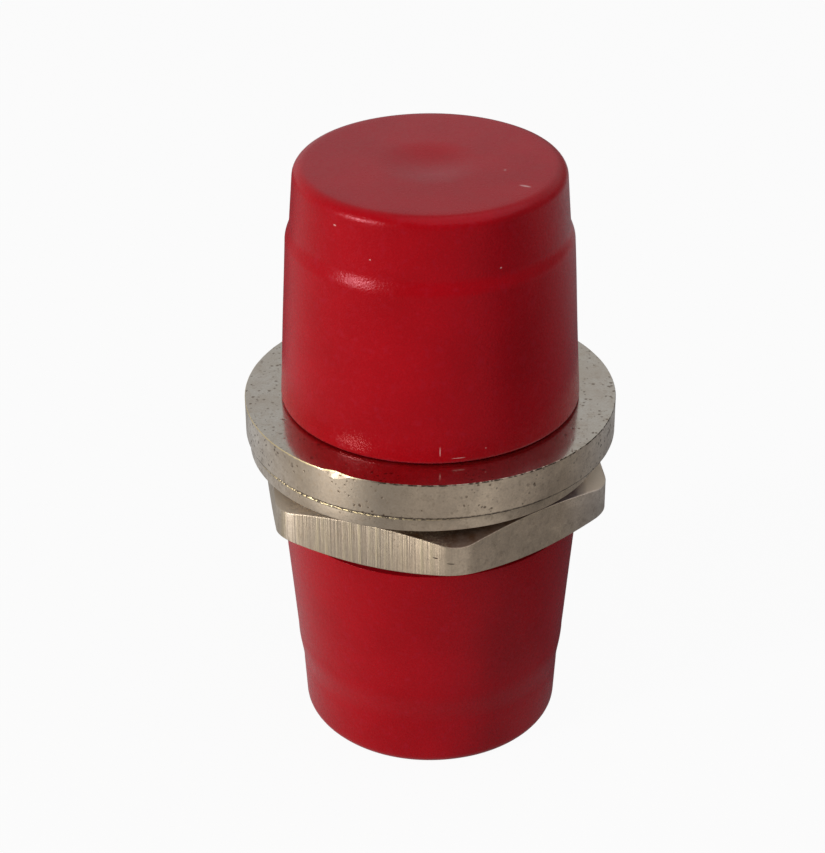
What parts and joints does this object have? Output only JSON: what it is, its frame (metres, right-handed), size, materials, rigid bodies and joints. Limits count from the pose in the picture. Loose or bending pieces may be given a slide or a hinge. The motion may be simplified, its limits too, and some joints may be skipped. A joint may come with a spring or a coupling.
{
  "type": "fiber optic adapter",
  "caption": "Round threaded fibre adapter with a flange, washer and hex nut for a panel hole, a split sleeve inside and a push-on dust cap over each port.",
  "frame": {"origin": "centre of the lower cap's flat end, which the part stands on", "axes": "+Z along the optical axis, up through the lower cap, the nut, the flange and the upper cap; -Y towards the key slots"},
  "size_m": [0.0136, 0.0134, 0.0225],
  "materials": {
    "plated_body": "worn nickel plate with small dark pits, brass showing at the edges",
    "plated_washer": "worn nickel plate",
    "plated_nut": "nickel plate over coarse vertical machining marks",
    "holder_metal": "bright turned brass",
    "sleeve_ceramic": "ground zirconia",
    "cap_plastic": "soft red moulded plastic with a faint satin sheen"
  },
  "bodies": {
    "lower_cap": {"lower_dust_cap": "cap_plastic"},
    "adapter": {"adapter_body": "plated_body", "upper_sleeve_holder": "holder_metal", "lower_sleeve_holder": "holder_metal", "alignment_sleeve": "sleeve_ceramic"},
    "washer": {"panel_washer": "plated_washer"},
    "nut": {"hex_nut": "plated_nut"},
    "upper_cap": {"upper_dust_cap": "cap_plastic"}
  },
  "joints": [
    {"name": "lower_cap_pull", "type": "slide", "parent": "lower_cap", "child": "adapter", "axis": [0, 0, 1], "range_m": [0, 0.024]},
    {"name": "upper_cap_pull", "type": "slide", "parent": "adapter", "child": "upper_cap", "axis": [0, 0, 1], "range_m": [0, 0.024]},
    {"name": "washer_slide", "type": "slide", "parent": "adapter", "child": "washer", "axis": [0, 0, -1], "range_m": [0, 0.00031]},
    {"name": "nut_turn", "type": "hinge", "parent": "washer", "child": "nut", "pos_m": [0, 0, 0.0104], "axis": [0, 0, -1], "range_deg": [0, 150]}
  ],
  "couplings": [
    {"joint": "nut_turn", "follows": "washer_slide", "rad_per_m": 8377.6}
  ]
}
